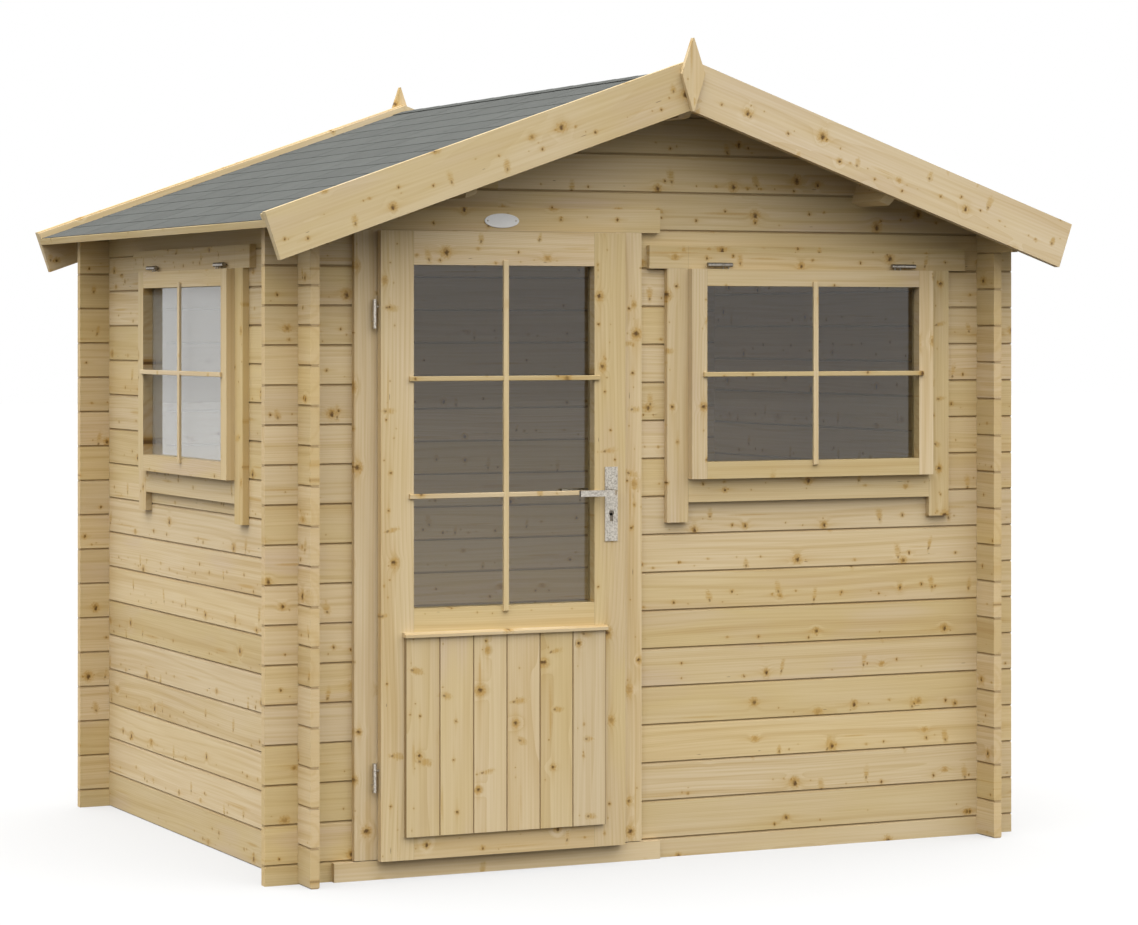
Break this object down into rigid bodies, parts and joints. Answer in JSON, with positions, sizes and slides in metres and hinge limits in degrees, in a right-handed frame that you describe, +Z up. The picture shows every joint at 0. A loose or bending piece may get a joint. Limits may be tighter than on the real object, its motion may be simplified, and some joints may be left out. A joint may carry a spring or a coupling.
{
  "type": "log cabin",
  "caption": "Small garden log cabin with notched log walls, a low gable roof of shingles, a half-glazed boarded door that opens and two top-hung windows.",
  "frame": {"origin": "centre of the cabin's outline on the ground, halfway between the finials and between the eaves", "axes": "+X to the right along the front wall, +Y from the front wall to the back wall, +Z up"},
  "size_m": [2.6614, 2.2732, 2.4414],
  "materials": {
    "logs": "planed, untreated",
    "roof_timber": "planed, untreated",
    "trim": "planed, untreated",
    "joinery": "sanded, untreated",
    "floor_timber": "planed, untreated",
    "shingles": "mineral granules",
    "steel": "satin",
    "glass": "clear"
  },
  "bodies": {
    "cabin": {"front_sill_log": "logs", "front_wall_left": "logs", "front_wall_low": "logs", "front_wall_pier": "logs", "front_wall_right": "logs", "front_head_log": "logs", "front_gable": "logs", "back_wall": "logs", "back_gable": "logs", "right_wall": "logs", "left_wall_low": "logs", "left_wall_front": "logs", "left_wall_back": "logs", "left_sill_log": "logs", "left_head_log": "logs", "wall_plates": "logs", "ridge_purlin": "roof_timber", "lower_purlins": "roof_timber", "left_roof_boards": "roof_timber", "right_roof_boards": "roof_timber", "left_shingles": "shingles", "right_shingles": "shingles", "ridge_shingles": "shingles", "gable_edge_strips": "trim", "eaves_strips": "trim", "front_barge_boards": "trim", "back_barge_boards": "trim", "finials": "trim", "floor_bearers": "floor_timber", "floor_boards": "floor_timber", "door_frame": "joinery", "door_trim_boards": "trim", "door_hinge_pins": "steel", "front_window_frame": "trim", "front_window_sash": "joinery", "front_window_glass": "glass", "left_window_frame": "trim", "left_window_sash": "joinery", "left_window_glass": "glass", "window_hinges": "steel"},
    "door": {"door_leaf": "joinery", "door_glass": "glass", "door_panel": "joinery", "door_hinge_knuckles": "steel", "lock_plates": "steel"},
    "handle": {"door_lever": "steel"}
  },
  "joints": [
    {"name": "door_hinge", "type": "hinge", "parent": "cabin", "child": "door", "pos_m": [-0.928, -0.936, 0.96225], "axis": [0, 0, -1], "range_deg": [0, 105]},
    {"name": "lever_turn", "type": "hinge", "parent": "door", "child": "handle", "pos_m": [-0.181, -0.952, 1.102], "axis": [0, -1, 0], "range_deg": [0, 40], "stiffness_Nm_per_rad": 0.8, "springref_deg": -28.65}
  ]
}
